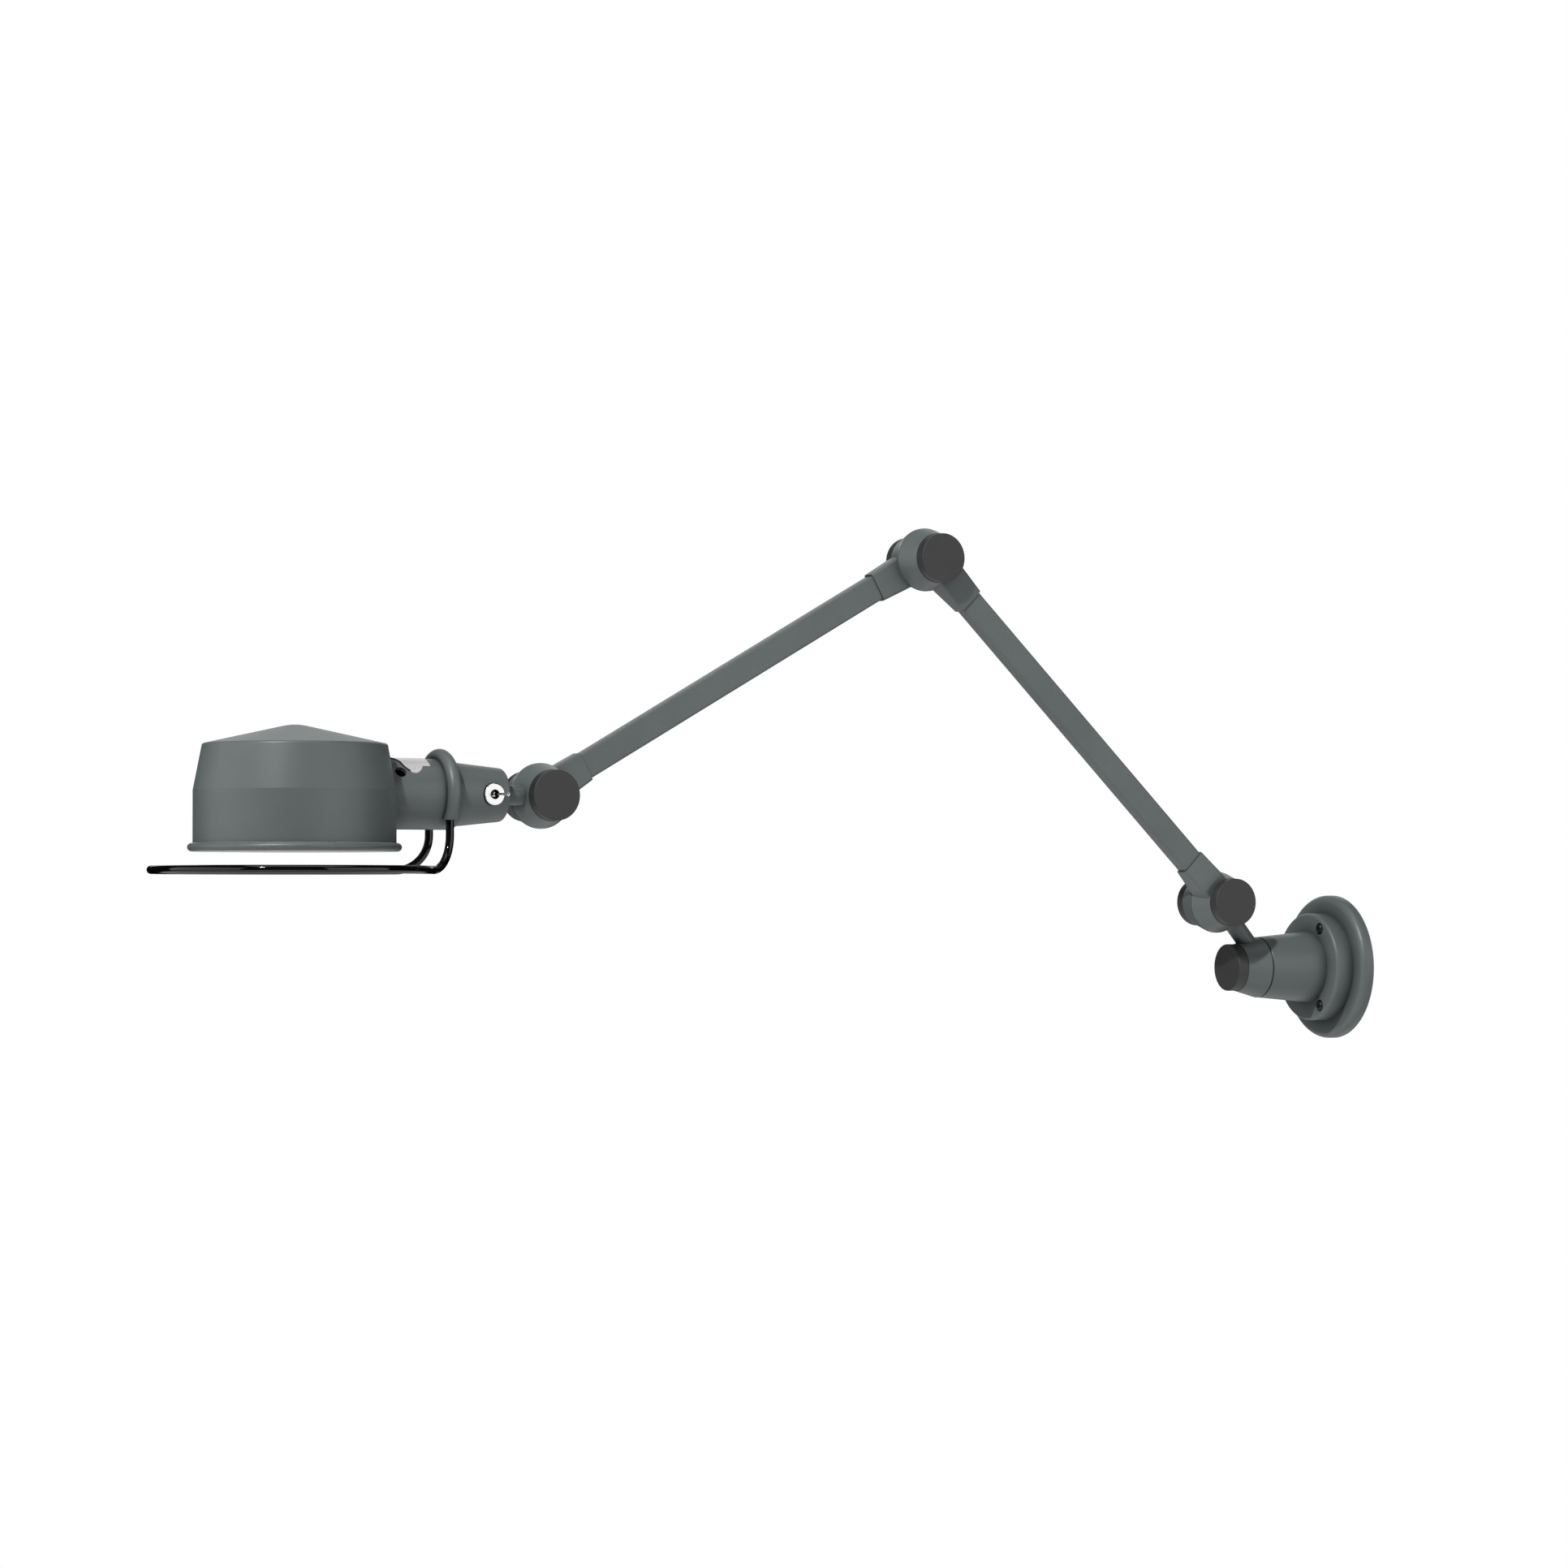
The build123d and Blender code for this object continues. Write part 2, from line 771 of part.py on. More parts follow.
# Neck: a tube fitted to the shade, with a horseshoe bead whose ends hold the guard ring
collar_reach = collar_r + collar_tube_r
with BuildPart() as neck_sleeve:
    with BuildSketch(head_axis) as collar_section:
        with Locations((collar_r, collar_at)):
            Circle(collar_tube_r)
    revolve(axis=Axis(head_axis.origin, head_axis.y_dir))
    with BuildSketch(Plane.XY.offset(head_z - collar_cut)) as below_collar:
        with Locations((collar_x, head_y)):
            Rectangle(2 * collar_reach, 2 * collar_reach)
    extrude(amount=-collar_reach, mode=Mode.SUBTRACT)
    bar(head_axis, neck_r, neck_start, shade_at - neck_r)
    turned(shade_axis, shade_form, mode=Mode.SUBTRACT)
    bar(head_axis, neck_bore_r, neck_start - collar_tube_r, shade_at, mode=Mode.SUBTRACT)
    with BuildSketch(Plane.XY.offset(head_z - collar_cut + leg_seat)) as leg_holes:
        with Locations((guard_x, head_y - guard_leg), (guard_x, head_y + guard_leg)):
            Circle(guard_r + seat_fit)
    extrude(amount=-collar_reach, mode=Mode.SUBTRACT)
    for side in (-1, 1):
        vent_dir = Vector(0, side * cos(radians(vent_angle)), sin(radians(vent_angle)))
        vent_plane = Plane(
            origin=(wrist.X - vent_at, head_y, head_z), x_dir=(1, 0, 0), z_dir=vent_dir
        )
        with BuildSketch(vent_plane) as vent:
            Circle(vent_r)
        extrude(amount=2 * neck_r, mode=Mode.SUBTRACT)

label_r = neck_r + seat_fit
with BuildPart() as rating_plate:
    turned(
        head_axis,
        [
            (label_r, label_at - label_tab),
            (label_r + label_t, label_at - label_tab),
            (label_r + label_t, label_at + label_tail),
            (label_r, label_at + label_tail),
        ],
    )
    with BuildSketch(Plane.XY.offset(head_z)) as label_outline:
        with Locations((wrist.X - label_at, head_y)):
            RectangleRounded(label_w, 2 * label_half, label_corner)
            Rectangle(label_tab, 2 * label_tab_half, align=(Align.MIN, Align.CENTER))
            Polygon(
                (-label_tail, label_tip_half),
                (-label_tail, -label_tip_half),
                (-label_w / 2, -label_side),
                (0, -label_side),
                (0, label_side),
                (-label_w / 2, label_side),
                align=None,
            )
    extrude(amount=2 * neck_r, mode=Mode.INTERSECT)

# Guard ring: one bent wire, from a leg round the shade's mouth to the other leg
ring_z = head_z - guard_down
ring_c = Vector(shade_x - guard_ring_shift, head_y, ring_z)


def guard_points(side):
    join = Vector(cos(radians(guard_join)), side * sin(radians(guard_join)), 0)
    back = Vector(sin(radians(guard_join)), -side * cos(radians(guard_join)), 0)
    leg_y = head_y + side * guard_leg
    return [
        Vector(guard_x, leg_y, head_z - collar_cut + leg_seat),
        Vector(guard_x, leg_y, ring_z),
        ring_c + join * guard_ring_r + back * guard_lead,
        ring_c + join * guard_ring_r,
    ]


near_points = guard_points(-1)
far_points = guard_points(1)
with BuildPart() as guard_ring:
    with BuildLine() as guard_path:
        FilletPolyline(*near_points, radius=[leg_bend, ring_bend])
        CenterArc(ring_c, guard_ring_r, -guard_join, guard_join - 180)
        CenterArc(ring_c, guard_ring_r, 180, guard_join - 180)
        FilletPolyline(*reversed(far_points), radius=[ring_bend, leg_bend])
    with BuildSketch(Plane(origin=near_points[0], x_dir=(1, 0, 0), z_dir=(0, 0, -1))) as wire_section:
        Circle(guard_r)
    sweep(path=guard_path.wires()[0])

pieces = {
    "wall_plate": wall_plate,
    "base_casting": base_casting,
    "terminal_block": terminal_block,
    "swivel_bolt": swivel_bolt,
    "swivel_nut": swivel_nut,
    "swivel_springs": swivel_springs,
    "swivel_disc": swivel_disc,
    "swivel_cup": swivel_cup,
    "swivel_cap": swivel_cap,
    "link_rod": link_rod,
    "shoulder_rear_cup": shoulder_rear_cup,
    "shoulder_rear_cap": shoulder_rear_cap,
    "shoulder_bolt": shoulder_bolt,
    "shoulder_nut": shoulder_nut,
    "shoulder_springs": shoulder_springs,
    "shoulder_disc": shoulder_disc,
    "shoulder_front_cup": shoulder_front_cup,
    "shoulder_front_cap": shoulder_front_cap,
    "lower_arm_tube": lower_arm_tube,
    "elbow_front_cup": elbow_front_cup,
    "elbow_front_cap": elbow_front_cap,
    "elbow_rear_cup": elbow_rear_cup,
    "elbow_rear_cap": elbow_rear_cap,
    "elbow_bolt": elbow_bolt,
    "elbow_nut": elbow_nut,
    "elbow_springs": elbow_springs,
    "elbow_disc": elbow_disc,
    "upper_arm_tube": upper_arm_tube,
    "wrist_rear_cup": wrist_rear_cup,
    "wrist_rear_cap": wrist_rear_cap,
    "wrist_bolt": wrist_bolt,
    "wrist_nut": wrist_nut,
    "wrist_springs": wrist_springs,
    "wrist_disc": wrist_disc,
    "wrist_front_cup": wrist_front_cup,
    "wrist_front_cap": wrist_front_cap,
    "head_stem": head_stem,
    "switch_housing": switch_housing,
    "switch_body": switch_body,
    "switch_nut": switch_nut,
    "switch_lever": switch_lever,
    "lampholder": lampholder,
    "bulb_base": bulb_base,
    "bulb_glass": bulb_glass,
    "neck_sleeve": neck_sleeve,
    "shade": shade,
    "rating_plate": rating_plate,
    "guard_ring": guard_ring,
}
for name, piece in pieces.items():
    piece.part.label = name
    export_step(piece.part, f"parts/{name}.step")
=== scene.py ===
import json
import math

import bpy
import numpy as np
from mathutils import Matrix, Vector


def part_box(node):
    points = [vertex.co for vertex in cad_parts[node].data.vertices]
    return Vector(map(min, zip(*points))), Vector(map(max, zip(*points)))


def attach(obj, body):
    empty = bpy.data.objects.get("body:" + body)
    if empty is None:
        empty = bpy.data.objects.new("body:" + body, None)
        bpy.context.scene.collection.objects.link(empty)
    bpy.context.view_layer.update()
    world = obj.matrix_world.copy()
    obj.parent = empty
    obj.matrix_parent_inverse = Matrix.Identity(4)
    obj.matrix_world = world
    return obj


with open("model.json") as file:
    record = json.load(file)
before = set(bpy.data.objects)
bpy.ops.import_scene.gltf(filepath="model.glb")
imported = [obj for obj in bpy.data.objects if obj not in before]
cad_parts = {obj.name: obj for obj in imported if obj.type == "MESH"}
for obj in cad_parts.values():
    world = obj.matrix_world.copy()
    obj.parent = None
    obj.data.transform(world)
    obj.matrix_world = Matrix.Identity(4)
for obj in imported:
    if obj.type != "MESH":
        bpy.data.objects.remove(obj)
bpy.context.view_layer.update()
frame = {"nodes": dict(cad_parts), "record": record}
nodes = frame["nodes"]
record = frame["record"]
print("frame loaded:", len(nodes), "nodes")


# helpers for node materials

plainBlack = (0, 0, 0, 1)
plainWhite = (1, 1, 1, 1)
noiseSpan = (0.3, 0.7)  # most of a noise texture's values lie between these


def linear(red, green, blue):
    # display colour 0 to 255 as the linear colour that a shader socket takes
    share = np.array([red, green, blue]) / 255
    low = share / 12.92
    high = ((share + 0.055) / 1.055) ** 2.4
    return (*np.where(share <= 0.04045, low, high).tolist(), 1.0)


def startMaterial(name):
    made = bpy.data.materials.new(name)
    made.use_nodes = True
    tree = made.node_tree
    coords = tree.nodes.new("ShaderNodeTexCoord")
    return made, tree, tree.nodes["Principled BSDF"], coords.outputs["Object"]


def startBareMaterial(name):
    # a material with only its output node
    made = bpy.data.materials.new(name)
    made.use_nodes = True
    tree = made.node_tree
    tree.nodes.remove(tree.nodes["Principled BSDF"])
    return made, tree, tree.nodes["Material Output"].inputs["Surface"]


def setSockets(shader, values):
    # constant values go straight on the shader's own sockets
    for name, value in values.items():
        shader.inputs[name].default_value = value


def feed(tree, socket, value):
    # a node's output is linked to the socket, and a plain value is set on it
    if isinstance(value, bpy.types.NodeSocket):
        tree.links.new(value, socket)
    else:
        socket.default_value = value


def addNoise(tree, vector, scale, detail, rough=0.5, stretch=None):
    if stretch:
        mapping = tree.nodes.new("ShaderNodeMapping")
        mapping.inputs["Scale"].default_value = stretch
        tree.links.new(vector, mapping.inputs["Vector"])
        vector = mapping.outputs["Vector"]
    noise = tree.nodes.new("ShaderNodeTexNoise")
    setSockets(noise, {"Scale": scale, "Detail": detail, "Roughness": rough})
    tree.links.new(vector, noise.inputs["Vector"])
    return noise.outputs["Fac"]


def addRamp(tree, share, stops, colours):
    # two colours, the first up to the first stop and the second from the second stop
    ramp = tree.nodes.new("ShaderNodeValToRGB")
    for point, place, colour in zip(ramp.color_ramp.elements, stops, colours):
        point.position = place
        point.color = colour
    tree.links.new(share, ramp.inputs["Fac"])
    return ramp.outputs["Color"]


def addRange(tree, value, span, result=(0.0, 1.0), curve="LINEAR"):
    spread = tree.nodes.new("ShaderNodeMapRange")
    spread.interpolation_type = curve
    names = ("From Min", "From Max", "To Min", "To Max")
    setSockets(spread, dict(zip(names, (*span, *result))))
    tree.links.new(value, spread.inputs["Value"])
    return spread.outputs["Result"]


def addMath(tree, kind, first, second):
    sums = tree.nodes.new("ShaderNodeMath")
    sums.operation = kind
    feed(tree, sums.inputs[0], first)
    feed(tree, sums.inputs[1], second)
    return sums.outputs["Value"]


def addVectorMath(tree, kind, first, second):
    sums = tree.nodes.new("ShaderNodeVectorMath")
    sums.operation = kind
    feed(tree, sums.inputs[0], first)
    feed(tree, sums.inputs[1], second)
    return sums.outputs


def addBump(tree, height, shader, strength, depth):
    bump = tree.nodes.new("ShaderNodeBump")
    setSockets(bump, {"Strength": strength, "Distance": depth})
    tree.links.new(height, bump.inputs["Height"])
    tree.links.new(bump.outputs["Normal"], shader.inputs["Normal"])


def mixColours(tree, share, first, second):
    mix = tree.nodes.new("ShaderNodeMix")
    mix.data_type = "RGBA"
    tree.links.new(share, mix.inputs["Factor"])
    feed(tree, mix.inputs[6], first)  # 6 and 7 are the node's colour sockets, and 2 its colour output
    feed(tree, mix.inputs[7], second)
    return mix.outputs[2]


def mixShaders(tree, share, first, second):
    mix = tree.nodes.new("ShaderNodeMixShader")
    for socket, value in zip(mix.inputs, (share, first, second)):
        tree.links.new(value, socket)
    return mix.outputs["Shader"]


# grey powder coat: cloudy tone, fine specks, an orange-peel skin and painted shade in its corners and
# creases

powderCoat = {
    "tones": (linear(95, 102, 102), linear(102, 109, 109)),
    "stops": (0.35, 0.65),
    "cloud": {"scale": 14.0, "detail": 3.0},
    "speck": linear(91, 98, 98),
    "speckStops": (0.66, 0.74),
    "grain": {"scale": 2600.0, "detail": 1.0},
    "peel": {"scale": 620.0, "detail": 2.0},
    "rough": (0.38, 0.46),
    "bump": {"strength": 0.06, "depth": 0.0004},
    # painted shade in corners and creases: its reach, the occlusion span, the darkest share of colour
    # and the sample count
    "paintedShadeReach": 0.015,
    "paintedShadeSpan": (0.5, 0.95),
    "paintedShadeTone": 0.4,
    "paintedShadeSamples": 8,
    "sockets": {"Specular IOR Level": 0.5},
}


def addPaintedCreaseShade(tree, coat):
    # share of the colour that is kept: painted shade, from ambient occlusion, darkens the coat in
    # corners and creases
    paintedShade = tree.nodes.new("ShaderNodeAmbientOcclusion")
    paintedShade.samples = coat["paintedShadeSamples"]
    paintedShade.inputs["Distance"].default_value = coat["paintedShadeReach"]
    return addRange(tree, paintedShade.outputs["AO"], coat["paintedShadeSpan"], (coat["paintedShadeTone"], 1.0))


def coatColour(tree, place, coat):
    cloud = addNoise(tree, place, **coat["cloud"])
    tone = addRamp(tree, cloud, coat["stops"], coat["tones"])
    grain = addNoise(tree, place, **coat["grain"])
    specks = addRamp(tree, grain, coat["speckStops"], (plainBlack, plainWhite))
    speckled = mixColours(tree, specks, tone, coat["speck"])
    # painted shade: the coat's colour is darkened towards black in corners and creases
    return mixColours(tree, addPaintedCreaseShade(tree, coat), plainBlack, speckled)


def finishCoat(tree, shader, place, coat):
    peel = addNoise(tree, place, **coat["peel"])
    tree.links.new(addRange(tree, peel, noiseSpan, coat["rough"]), shader.inputs["Roughness"])
    addBump(tree, peel, shader, **coat["bump"])
    setSockets(shader, coat["sockets"])


def makePowderCoat():
    made, tree, shader, place = startMaterial("powderCoatGrey")
    tree.links.new(coatColour(tree, place, powderCoat), shader.inputs["Base Color"])
    finishCoat(tree, shader, place, powderCoat)
    return made


# the shade has the same coat outside and white reflector enamel inside

shadePaint = {
    "tones": (linear(220, 220, 217), linear(228, 228, 226)),
    "stops": (0.3, 0.7),
    "cloud": {"scale": 30.0, "detail": 3.0},
    "innerLift": 0.3,  # height of the inner point, as a share of the shade's
}


def makeShadePaint():
    made, tree, shader, place = startMaterial("shadeCoat")
    low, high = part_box("shade")
    # a point low on the shade's axis: walls that face it are the inside
    inside = ((low.x + high.x) / 2, (low.y + high.y) / 2,
              low.z + shadePaint["innerLift"] * (high.z - low.z))
    offset = addVectorMath(tree, "SUBTRACT", place, inside)["Vector"]
    turning = place.node.outputs["Normal"]  # this normal turns with the shade
    facing = addVectorMath(tree, "DOT_PRODUCT", offset, turning)["Value"]
    inner = addMath(tree, "LESS_THAN", facing, 0.0)
    cloud = addNoise(tree, place, **shadePaint["cloud"])
    enamel = addRamp(tree, cloud, shadePaint["stops"], shadePaint["tones"])
    outside = coatColour(tree, place, powderCoat)
    tree.links.new(mixColours(tree, inner, outside, enamel), shader.inputs["Base Color"])
    finishCoat(tree, shader, place, powderCoat)
    return made


def makeFinish(name, facts):
    # a noise mixes the two tones, and sets the roughness and bump where no grain or wave does
    made, tree, shader, place = startMaterial(name)
    pattern = addNoise(tree, place, **facts["cloud"])
    tone = addRamp(tree, pattern, facts["stops"], facts["tones"])
    tree.links.new(tone, shader.inputs["Base Color"])
    if "grain" in facts:
        pattern = addNoise(tree, place, **facts["grain"])
    tree.links.new(addRange(tree, pattern, noiseSpan, facts["rough"]), shader.inputs["Roughness"])
    if "wave" in facts:
        pattern = addNoise(tree, place, **facts["wave"])
    if "bump" in facts:
        addBump(tree, pattern, shader, **facts["bump"])
    setSockets(shader, facts.get("sockets", {}))
    return made


# dark moulded end caps
capPlastic = {
    "tones": (linear(34, 34, 34), linear(40, 40, 40)),
    "stops": (0.3, 0.7),
    "cloud": {"scale": 40.0, "detail": 3.0},
    "grain": {"scale": 1500.0, "detail": 2.0, "rough": 0.6},
    "rough": (0.52, 0.64),
    "bump": {"strength": 0.12, "depth": 0.0002},
    "sockets": {"Specular IOR Level": 0.95},
}

# bright chrome of the toggle's lever, with a faint polishing haze
chromePlate = {
    "tones": ((0.78, 0.78, 0.79, 1), (0.86, 0.86, 0.87, 1)),
    "stops": (0.35, 0.65),
    "cloud": {"scale": 60.0, "detail": 4.0},
    "rough": (0.05, 0.02),
    "sockets": {"Metallic": 1.0},
}

# bright plating on the toggle's ring nut, faintly brushed
brightNickel = {
    "tones": ((0.86, 0.86, 0.85, 1), (0.93, 0.93, 0.92, 1)),
    "stops": (0.3, 0.7),
    "cloud": {"scale": 500.0, "detail": 3.0, "rough": 0.6, "stretch": (1.0, 1.0, 6.0)},
    "rough": (0.14, 0.22),
    "bump": {"strength": 0.03, "depth": 0.0002},
    "sockets": {"Metallic": 1.0},
}

# black gloss lacquer on the guard wire, faintly uneven
wireLacquer = {
    "tones": (linear(7, 7, 8), linear(15, 15, 16)),
    "stops": (0.35, 0.75),
    "cloud": {"scale": 45.0, "detail": 4.0},
    "rough": (0.03, 0.07),
    "wave": {"scale": 160.0, "detail": 1.0},
    "bump": {"strength": 0.02, "depth": 0.0003},
    "sockets": {"Specular IOR Level": 0.55},
}

# brushed foil of the bare plate on the neck
brushedFoil = {
    "tones": (linear(202, 200, 199), linear(230, 228, 227)),
    "stops": (0.3, 0.7),
    "cloud": {"scale": 900.0, "detail": 3.0, "rough": 0.65, "stretch": (0.06, 1.0, 1.0)},
    "rough": (0.3, 0.45),
    "bump": {"strength": 0.1, "depth": 0.0001},
    "sockets": {"Metallic": 0.2},
}

# plated steel of the bolts, nuts, washers and bulb cap
zincPlate = {
    "tones": (linear(140, 141, 140), linear(176, 176, 172)),
    "stops": (0.3, 0.7),
    "cloud": {"scale": 180.0, "detail": 4.0},
    "rough": (0.3, 0.45),
    "sockets": {"Metallic": 1.0},
}

# milky glass of the bulb
opalGlass = {
    "tones": ((0.88, 0.87, 0.84, 1), (0.93, 0.93, 0.91, 1)),
    "stops": (0.3, 0.7),
    "cloud": {"scale": 25.0, "detail": 2.0},
    "rough": (0.08, 0.14),
    "sockets": {"Subsurface Weight": 0.4, "Subsurface Radius": (0.01, 0.01, 0.01)},
}


def moulding(dark, light, scale, rough):
    # fine-grained finishes differ in their two tones, grain size and roughness
    return {"tones": (linear(*dark), linear(*light)), "stops": (0.3, 0.7), "rough": rough,
            "cloud": {"scale": scale, "detail": 3.0}, "bump": {"strength": 0.08, "depth": 0.0002}}


frictionFibre = moulding((34, 34, 33), (48, 47, 45), 700.0, (0.75, 0.9))
switchMoulding = moulding((18, 18, 19), (30, 30, 31), 500.0, (0.35, 0.5))
terminalMoulding = moulding((222, 221, 214), (236, 235, 229), 200.0, (0.3, 0.4))
holderMoulding = moulding((14, 14, 14), (24, 24, 23), 90.0, (0.3, 0.45))
screwBlack = moulding((5, 5, 5), (11, 11, 11), 600.0, (0.35, 0.5))

coat = makePowderCoat()
shadeCoat = makeShadePaint()
foil = makeFinish("brushedFoil", brushedFoil)
steel = makeFinish("zincPlate", zincPlate)
blackFinish = makeFinish("screwBlack", screwBlack)

finishBySlot = {
    "grey_paint": coat,
    "grey_casting": coat,
    "shade_paint": shadeCoat,
    "black_cap": makeFinish("capPlastic", capPlastic),
    "steel": steel,
    "friction_fibre": makeFinish("frictionFibre", frictionFibre),
    "bright_lever": makeFinish("chromePlate", chromePlate),
    "bright_nut": makeFinish("brightNickel", brightNickel),
    "black_wire": makeFinish("wireLacquer", wireLacquer),
    "switch_plastic": makeFinish("switchMoulding", switchMoulding),
    "block_plastic": makeFinish("terminalMoulding", terminalMoulding),
    "holder_plastic": makeFinish("holderMoulding", holderMoulding),
    "bulb_cap": steel,
    "bulb_glass": makeFinish("opalGlass", opalGlass),
    "plate_foil": foil,
}
for entry in record["subparts"]:
    mesh = nodes[entry["node"]].data
    mesh.materials.clear()
    mesh.materials.append(finishBySlot[entry["material_slot"]])
print("finishes on", len(record["subparts"]), "nodes")


def turnsRound(count):
    # evenly spaced angles of one full turn
    return np.linspace(0.0, 2 * math.pi, count, endpoint=False)


def gridObject(name, points, finish, closed=True, capped=False):
    # a (rows, turns, 3) grid of points as one quad mesh, closed round its turns unless told otherwise
    rows, turns = points.shape[:2]
    row = np.arange(rows - 1)[:, None]
    turn = np.arange(turns if closed else turns - 1)[None, :]
    after = (turn + 1) % turns
    quads = np.stack([row * turns + turn, row * turns + after,
                      (row + 1) * turns + after, (row + 1) * turns + turn], axis=-1)
    corners, faces = points.reshape(-1, 3), quads.reshape(-1, 4).tolist()
    if capped:
        # a flat fan from the middle of each end row closes the pole there
        corners = np.concatenate([corners, points[[0, -1]].mean(axis=1)])
        ring, onward = turn[0], after[0]
        lastRow, pole = (rows - 1) * turns, rows * turns
        faces += np.stack([pole + 0 * ring, onward, ring], axis=-1).tolist()
        faces += np.stack([pole + 1 + 0 * ring, lastRow + ring, lastRow + onward], axis=-1).tolist()
    mesh = bpy.data.meshes.new(name)
    mesh.from_pydata(corners.tolist(), [], faces)
    mesh.polygons.foreach_set("use_smooth", np.arange(len(faces)) < quads[..., 0].size)
    mesh.materials.append(finish)
    mesh.update()
    made = bpy.data.objects.new(name, mesh)
    bpy.context.scene.collection.objects.link(made)
    return made


# pan-head screws in the base's counterbores

screwHead = {
    "radius": 0.0049, "height": 0.0062, "seat": -0.02245, "recess": 0.0019,
    "arm": 0.0024, "armWidth": 0.00055, "soft": 0.00016,
    "crownDrop": 0.75, "crownPower": 6, "topShare": 0.86, "poleShare": 1e-6,
    "rings": 44, "turns": 96,
}


def softStep(distance, reach):
    # 1 within the reach and 0 past it, with a soft edge
    return 1 / (1 + np.exp((np.abs(distance) - reach) / screwHead["soft"]))


def screwSurface(place):
    # radius r and turn a: the height is a flattened dome less a soft cross, then drops to the seat
    facts = screwHead
    share = np.linspace(0.0, 1.0, facts["rings"])[:, None]
    turn = turnsRound(facts["turns"])[None, :]
    topShare = np.clip(share / facts["topShare"], facts["poleShare"], 1.0)
    radius = facts["radius"] * np.sqrt(topShare) + 0 * turn
    across, up = radius * np.cos(turn), radius * np.sin(turn)
    fall = facts["crownDrop"] * (radius / facts["radius"]) ** facts["crownPower"]
    crown = facts["height"] * (1.0 - fall)
    level = softStep(across, facts["arm"]) * softStep(up, facts["armWidth"])
    upright = softStep(up, facts["arm"]) * softStep(across, facts["armWidth"])
    cross = np.maximum(level, upright)
    drop = np.clip((share - facts["topShare"]) / (1 - facts["topShare"]), 0.0, 1.0)
    height = (crown - facts["recess"] * cross) * (1 - drop)
    return np.stack([facts["seat"] - height, place[0] + across, place[1] + up], axis=-1)


screwMount = next(m for m in record["mounts"] if m["name"] == "wall_screws")
screwCircle = screwMount["dims"]["pcd_mm"] / 2000  # radius in metres from a diameter in millimetres
screwCount = screwMount["dims"]["count"]
for index in range(screwCount):
    angle = 2 * math.pi * index / screwCount  # the first hole is towards +Y
    place = (screwCircle * math.cos(angle), screwCircle * math.sin(angle))
    screw = gridObject(f"wallScrew{index + 1}", screwSurface(place), blackFinish, capped=True)
    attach(screw, "wall_base")
print("wall screws:", screwCount)


# rivets and a thin dark bead along the edge of the small plate on the neck

plateTrim = {
    "neckRadius": 0.02793, "tab": 0.0144, "tail": 0.0148, "tip": 0.002, "half": 0.009,
    "side": 0.0138, "corner": 0.0088, "beadRadius": 0.0005, "beadStart": 180.0, "beadEnd": 245.0,
    "rivetAngle": 44.0, "rivetRadius": 0.0013, "rivetHeight": 0.0005, "rivetPower": 4,
    "poleShare": 0.02, "rows": 14, "turns": 24,
}
plateLow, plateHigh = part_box("rating_plate")
plateMiddle = np.array([plateHigh.x - plateTrim["tab"], (plateLow.y + plateHigh.y) / 2,
                        plateHigh.z - plateTrim["neckRadius"]])


def rivetSurface(side):
    # dome on the neck: height h (1 - q^4) over the share q of its radius, along the neck's normal;
    # the turn runs clockwise seen from outside, so that the faces point outwards
    facts = plateTrim
    share = np.linspace(facts["poleShare"], 1.0, facts["rows"])[:, None, None]
    turn = turnsRound(facts["turns"])[None, :, None]
    angle = side * math.radians(facts["rivetAngle"])
    normal = np.array([0.0, math.sin(angle), math.cos(angle)])
    along = np.array([1.0, 0.0, 0.0])
    beside = np.cross(normal, along)
    flat = share * facts["rivetRadius"] * (np.sin(turn) * along + np.cos(turn) * beside)
    rise = facts["rivetHeight"] * (1 - share ** facts["rivetPower"])
    return plateMiddle + flat + normal * (facts["neckRadius"] + rise)


def beadSurface(side):
    # tube round the plate's edge towards the shade: a straight run, then the corner's arc,
    # both laid on the neck
    facts = plateTrim
    run = np.linspace(0.0, 1.0, facts["rows"])[:-1, None]
    start = np.array([-facts["tail"], facts["tip"]])
    bend = np.array([-facts["half"], facts["side"]])
    straight = (1 - run) * start + run * bend
    angle = np.radians(np.linspace(facts["beadStart"], facts["beadEnd"], facts["rows"]))
    arc = np.stack([facts["corner"] - facts["half"] + facts["corner"] * np.cos(angle),
                    facts["side"] - facts["corner"] * np.sin(angle)], axis=-1)
    plan = np.concatenate([straight, arc])
    across = side * plan[:, 1]
    up = np.sqrt(facts["neckRadius"] ** 2 - across ** 2)
    path = np.stack([plan[:, 0], across, up], axis=-1)
    normal = path * (0, 1, 1) / facts["neckRadius"]
    ahead = np.gradient(path, axis=0)
    beside = np.cross(ahead / np.linalg.norm(ahead, axis=1, keepdims=True), normal)
    turn = turnsRound(facts["turns"])[None, :, None]
    ring = np.cos(turn) * normal[:, None, :] + np.sin(turn) * beside[:, None, :]
    return plateMiddle + path[:, None, :] + facts["beadRadius"] * ring


for label, side in (("Near", -1), ("Far", 1)):
    rivet = gridObject("plateRivet" + label, rivetSurface(side), foil, capped=True)
    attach(rivet, "shade_head")
    bead = gridObject("plateBead" + label, beadSurface(side), blackFinish, capped=True)
    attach(bead, "shade_head")
print("plate trim on the neck")


# camera worked out from the photograph

view = {"place": (-2.2872, -3.31362, 0.06015), "turn": -27.85, "pitch": -1.40,
        "lens": 106.14, "sensor": 36.0, "clipEnd": 100.0}


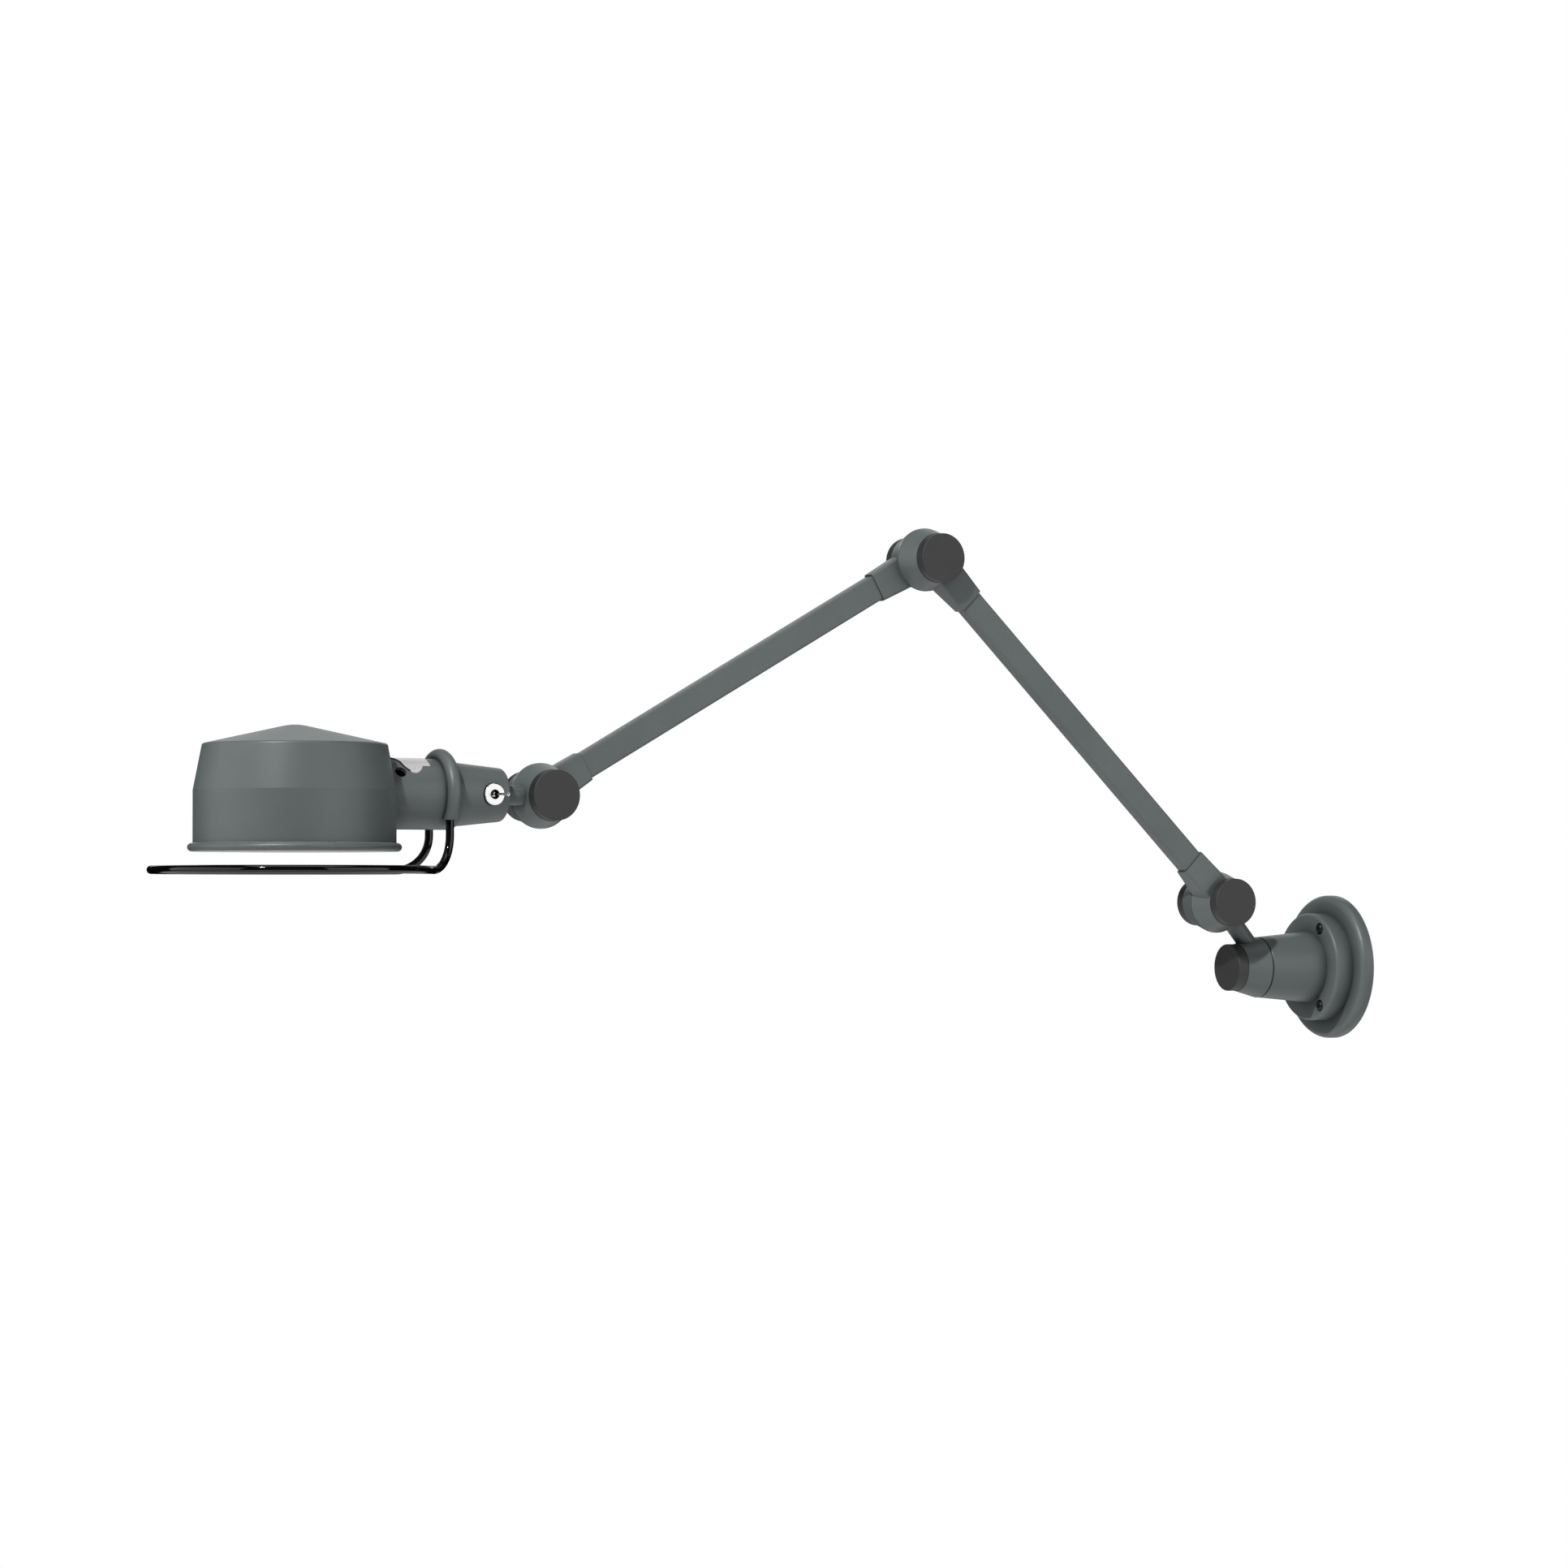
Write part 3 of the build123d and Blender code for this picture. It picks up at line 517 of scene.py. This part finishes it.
def addCamera():
    turn, pitch = math.radians(view["turn"]), math.radians(view["pitch"])
    right = Vector((math.cos(turn), math.sin(turn), 0))
    back = Vector((math.sin(turn) * math.cos(pitch), -math.cos(turn) * math.cos(pitch),
                   math.sin(pitch)))
    up = back.cross(right)
    data = bpy.data.cameras.new("photoCamera")
    data.sensor_width = view["sensor"]
    data.lens = view["lens"]
    data.clip_end = view["clipEnd"]
    camera = bpy.data.objects.new("photoCamera", data)
    turned = Matrix((right, up, back)).transposed().to_4x4()
    camera.matrix_world = Matrix.Translation(view["place"]) @ turned
    bpy.context.scene.collection.objects.link(camera)
    bpy.context.scene.camera = camera


addCamera()
print("camera ready")


# pale floor well below the lamp, which fades out into the white background

studioMiddle = (-0.55, -0.02, 0.15)
studioFloor = {
    "level": -0.9, "radius": 2.7, "fade": (0.6, 0.98), "tone": (0.86, 0.86, 0.86, 1),
    "lift": 0.6,  # share of plain white that is seen in the floor, which still takes shadows
    "rings": 24, "turns": 96,
}


def floorSurface():
    # a flat disc: radius times the cosine and sine of the turn; its rings run inwards, so it faces up
    facts = studioFloor
    radius = np.linspace(facts["radius"], 0.0, facts["rings"])[:, None]
    turn = turnsRound(facts["turns"])[None, :]
    return np.stack([studioMiddle[0] + radius * np.cos(turn),
                     studioMiddle[1] + radius * np.sin(turn),
                     facts["level"] + 0 * radius * turn], axis=-1)


def seenRays(tree):
    # 1 for the rays that show the background: the camera's, reflected ones and those through glass
    rays = tree.nodes.new("ShaderNodeLightPath")
    seen = addMath(tree, "MAXIMUM", rays.outputs["Is Camera Ray"], rays.outputs["Is Glossy Ray"])
    return addMath(tree, "MAXIMUM", seen, rays.outputs["Is Transmission Ray"])


def makeFloor():
    facts = studioFloor
    made, tree, surface = startBareMaterial("paleFloor")
    coords = tree.nodes.new("ShaderNodeTexCoord")
    centre = (*studioMiddle[:2], facts["level"])
    away = addVectorMath(tree, "DISTANCE", coords.outputs["Object"], centre)["Value"]
    fadeSpan = [share * facts["radius"] for share in facts["fade"]]
    fade = addRange(tree, away, fadeSpan, curve="SMOOTHSTEP")
    geometry = tree.nodes.new("ShaderNodeNewGeometry")
    clear = addMath(tree, "MAXIMUM", fade, geometry.outputs["Backfacing"])
    pale = tree.nodes.new("ShaderNodeBsdfDiffuse")
    bright = tree.nodes.new("ShaderNodeEmission")
    for part in (pale, bright):
        part.inputs["Color"].default_value = facts["tone"]
    lift = addMath(tree, "MULTIPLY", seenRays(tree), facts["lift"])
    shown = mixShaders(tree, lift, pale.outputs["BSDF"], bright.outputs["Emission"])
    nothing = tree.nodes.new("ShaderNodeBsdfTransparent")
    tree.links.new(mixShaders(tree, clear, shown, nothing.outputs["BSDF"]), surface)
    return made


# soft lamps round the object: turn to the right of the camera and height in degrees, sizes in metres

studioLamps = {
    "key": {"turn": -26.0, "height": 42.0, "away": 5.6, "wide": 0.24, "tall": 0.24, "power": 229.0},
    "left": {"turn": -70.0, "height": 8.0, "away": 5.0, "wide": 6.8, "tall": 4.8, "power": 93.0},
    "right": {"turn": 58.0, "height": 8.0, "away": 5.0, "wide": 5.4, "tall": 4.8, "power": 87.0},
    "above": {"turn": 0.0, "height": 82.0, "away": 5.2, "wide": 4.4, "tall": 3.2, "power": 47.0},
    "back": {"turn": 168.0, "height": 14.0, "away": 5.0, "wide": 6.0, "tall": 4.4, "power": 96.0,
             "gloss": False},
}


def bearing(turn, height):
    # unit vector at a turn to the right of the camera and a height above the floor, in degrees
    around = np.radians(view["turn"] - 90 + turn)
    lift = np.radians(height)
    return np.stack([np.cos(lift) * np.cos(around), np.cos(lift) * np.sin(around),
                     np.sin(lift) + 0 * around], axis=-1)


def addSoftLight(name, facts):
    data = bpy.data.lights.new(name + "Light", "AREA")
    data.shape = "RECTANGLE"
    data.size = facts["wide"]
    data.size_y = facts["tall"]
    data.energy = facts["power"]
    lamp = bpy.data.objects.new(name + "Light", data)
    aim = -Vector(bearing(facts["turn"], facts["height"]))
    place = Vector(studioMiddle) - aim * facts["away"]
    turned = aim.to_track_quat("-Z", "Y").to_matrix().to_4x4()
    lamp.matrix_world = Matrix.Translation(place) @ turned
    lamp.visible_camera = False
    lamp.visible_glossy = facts.get("gloss", True)
    bpy.context.scene.collection.objects.link(lamp)


# dark studio walls that only glossy surfaces reflect, open towards the white behind the lamp

studioWalls = {"radius": 9.0, "lowest": -25.0, "opening": 24.0, "openFrom": 8.0, "openTo": 38.0,
               "rows": 40, "turns": 120, "tone": (0.003, 0.003, 0.003, 1)}


def addStudioWalls():
    # part of a sphere round the lamp: the radius along each bearing
    facts = studioWalls
    height = np.linspace(facts["lowest"], 90.0, facts["rows"])[:, None]
    isOpen = (height > facts["openFrom"]) & (height < facts["openTo"])
    reach = np.where(isOpen, 180.0 - facts["opening"], 180.0)
    turn = reach * np.linspace(-1.0, 1.0, facts["turns"])[None, :]
    points = np.array(studioMiddle) + facts["radius"] * bearing(turn, height + 0 * turn)
    made, tree, surface = startBareMaterial("studioWall")
    dark = tree.nodes.new("ShaderNodeBsdfDiffuse")
    dark.inputs["Color"].default_value = facts["tone"]
    tree.links.new(dark.outputs["BSDF"], surface)
    walls = gridObject("studioWalls", points, made, closed=False)
    walls.visible_camera = walls.visible_diffuse = walls.visible_shadow = False
    walls.visible_transmission = walls.visible_volume_scatter = False


# the background is white where it is seen, and lights the object only faintly

studioWorld = {"ambient": 0.01, "seen": 1.0}


def setWorld():
    world = bpy.data.worlds.new("studioWhite")
    bpy.context.scene.world = world
    world.use_nodes = True
    tree = world.node_tree
    faint = tree.nodes["Background"]
    setSockets(faint, {"Color": plainWhite, "Strength": studioWorld["ambient"]})
    seen = tree.nodes.new("ShaderNodeBackground")
    setSockets(seen, {"Color": plainWhite, "Strength": studioWorld["seen"]})
    shown = mixShaders(tree, seenRays(tree), faint.outputs["Background"], seen.outputs["Background"])
    tree.links.new(shown, tree.nodes["World Output"].inputs["Surface"])


gridObject("floor", floorSurface(), makeFloor())
for lampName, lampFacts in studioLamps.items():
    addSoftLight(lampName, lampFacts)
addStudioWalls()
setWorld()
bpy.context.scene.view_settings.view_transform = "Standard"
print("studio ready")
